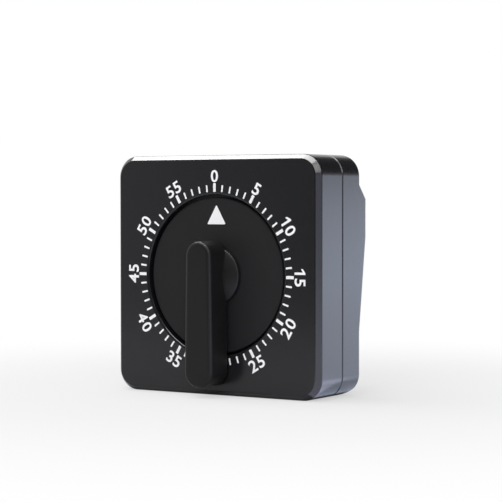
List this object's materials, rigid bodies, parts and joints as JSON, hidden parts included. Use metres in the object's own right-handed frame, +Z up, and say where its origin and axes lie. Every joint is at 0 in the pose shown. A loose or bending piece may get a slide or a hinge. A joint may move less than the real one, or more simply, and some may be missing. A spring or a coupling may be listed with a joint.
{
  "type": "mechanical kitchen timer",
  "caption": "Square free-standing wind-up kitchen timer with a lever knob on a minute dial, a spring-driven gear movement and a bell.",
  "frame": {"origin": "centre of the case's base, midway between its face and its flat back", "axes": "+Z up along the height, -Y out of the dial towards the user, +X to the right of the dial as the user sees it"},
  "size_m": [0.068, 0.0358, 0.0676],
  "materials": {
    "case_plastic": "fine satin grain",
    "disc_plastic": "satin",
    "knob_plastic": "satin",
    "white_plastic": "plain",
    "plate_brass": "rolled sheet",
    "wheel_brass": "cut and deburred",
    "arbor_steel": "turned",
    "spring_steel": "blued strip",
    "screw_steel": "zinc plated",
    "bell_metal": "nickel plated",
    "magnet": "nickel plated, dull"
  },
  "bodies": {
    "case": {"front_shell": "case_plastic", "rear_cover": "case_plastic", "case_screws": "screw_steel", "back_magnets": "magnet", "front_plate": "plate_brass", "back_plate": "plate_brass", "pillars": "arbor_steel", "pillar_nuts": "screw_steel", "movement_screws": "screw_steel", "bell_post": "arbor_steel", "bell": "bell_metal", "bell_screw": "screw_steel", "hammer_post": "arbor_steel", "hammer_spring": "spring_steel", "mainspring": "spring_steel"},
    "knob": {"pointer_disc": "disc_plastic", "lever_knob": "knob_plastic", "main_arbor": "arbor_steel", "main_wheel": "wheel_brass", "ratchet_wheel": "arbor_steel", "alarm_cam": "white_plastic", "click_post": "arbor_steel", "click_spring": "spring_steel"},
    "click_arm": {"click": "arbor_steel"},
    "second": {"second_arbor": "arbor_steel", "second_wheel": "wheel_brass", "strike_wheel": "wheel_brass"},
    "third": {"third_arbor": "arbor_steel", "third_wheel": "wheel_brass"},
    "escape": {"escape_arbor": "arbor_steel", "escape_wheel": "wheel_brass"},
    "balance": {"anchor_arbor": "arbor_steel", "anchor": "arbor_steel", "anchor_pins": "arbor_steel", "balance_bar": "wheel_brass"},
    "striker": {"hammer": "arbor_steel", "hammer_head": "wheel_brass"}
  },
  "joints": [
    {"name": "knob_turn", "type": "hinge", "parent": "case", "child": "knob", "pos_m": [0, -0.0035, 0.0338], "axis": [0, 1, 0], "range_deg": [0, 360], "deforming": ["mainspring"]},
    {"name": "second_turn", "type": "hinge", "parent": "case", "child": "second", "pos_m": [0.0072, -0.0035, 0.04627], "axis": [0, 1, 0], "range_deg": [-2520, 0]},
    {"name": "third_turn", "type": "hinge", "parent": "case", "child": "third", "pos_m": [-0.0025, -0.0035, 0.05187], "axis": [0, 1, 0], "range_deg": [0, 15120]},
    {"name": "escape_turn", "type": "hinge", "parent": "case", "child": "escape", "pos_m": [-0.01092, -0.0035, 0.04881], "axis": [0, 1, 0], "range_deg": [-90720, 0]},
    {"name": "anchor_rock", "type": "hinge", "parent": "case", "child": "balance", "pos_m": [-0.01643, 0.0023, 0.04329], "axis": [0, 1, 0], "range_deg": [-8, 8]},
    {"name": "hammer_swing", "type": "hinge", "parent": "case", "child": "striker", "pos_m": [0.008, 0.0066, 0.0228], "axis": [0, 1, 0], "range_deg": [-5, 0], "deforming": ["hammer_spring"]},
    {"name": "click_lift", "type": "hinge", "parent": "knob", "child": "click_arm", "pos_m": [0.00157, -0.0017, 0.04182], "axis": [0, 1, 0], "range_deg": [-8, 0], "deforming": ["click_spring"]}
  ],
  "couplings": [
    {"joint": "second_turn", "follows": "knob_turn", "ratio": -7},
    {"joint": "third_turn", "follows": "knob_turn", "ratio": 42},
    {"joint": "escape_turn", "follows": "knob_turn", "ratio": -252}
  ]
}
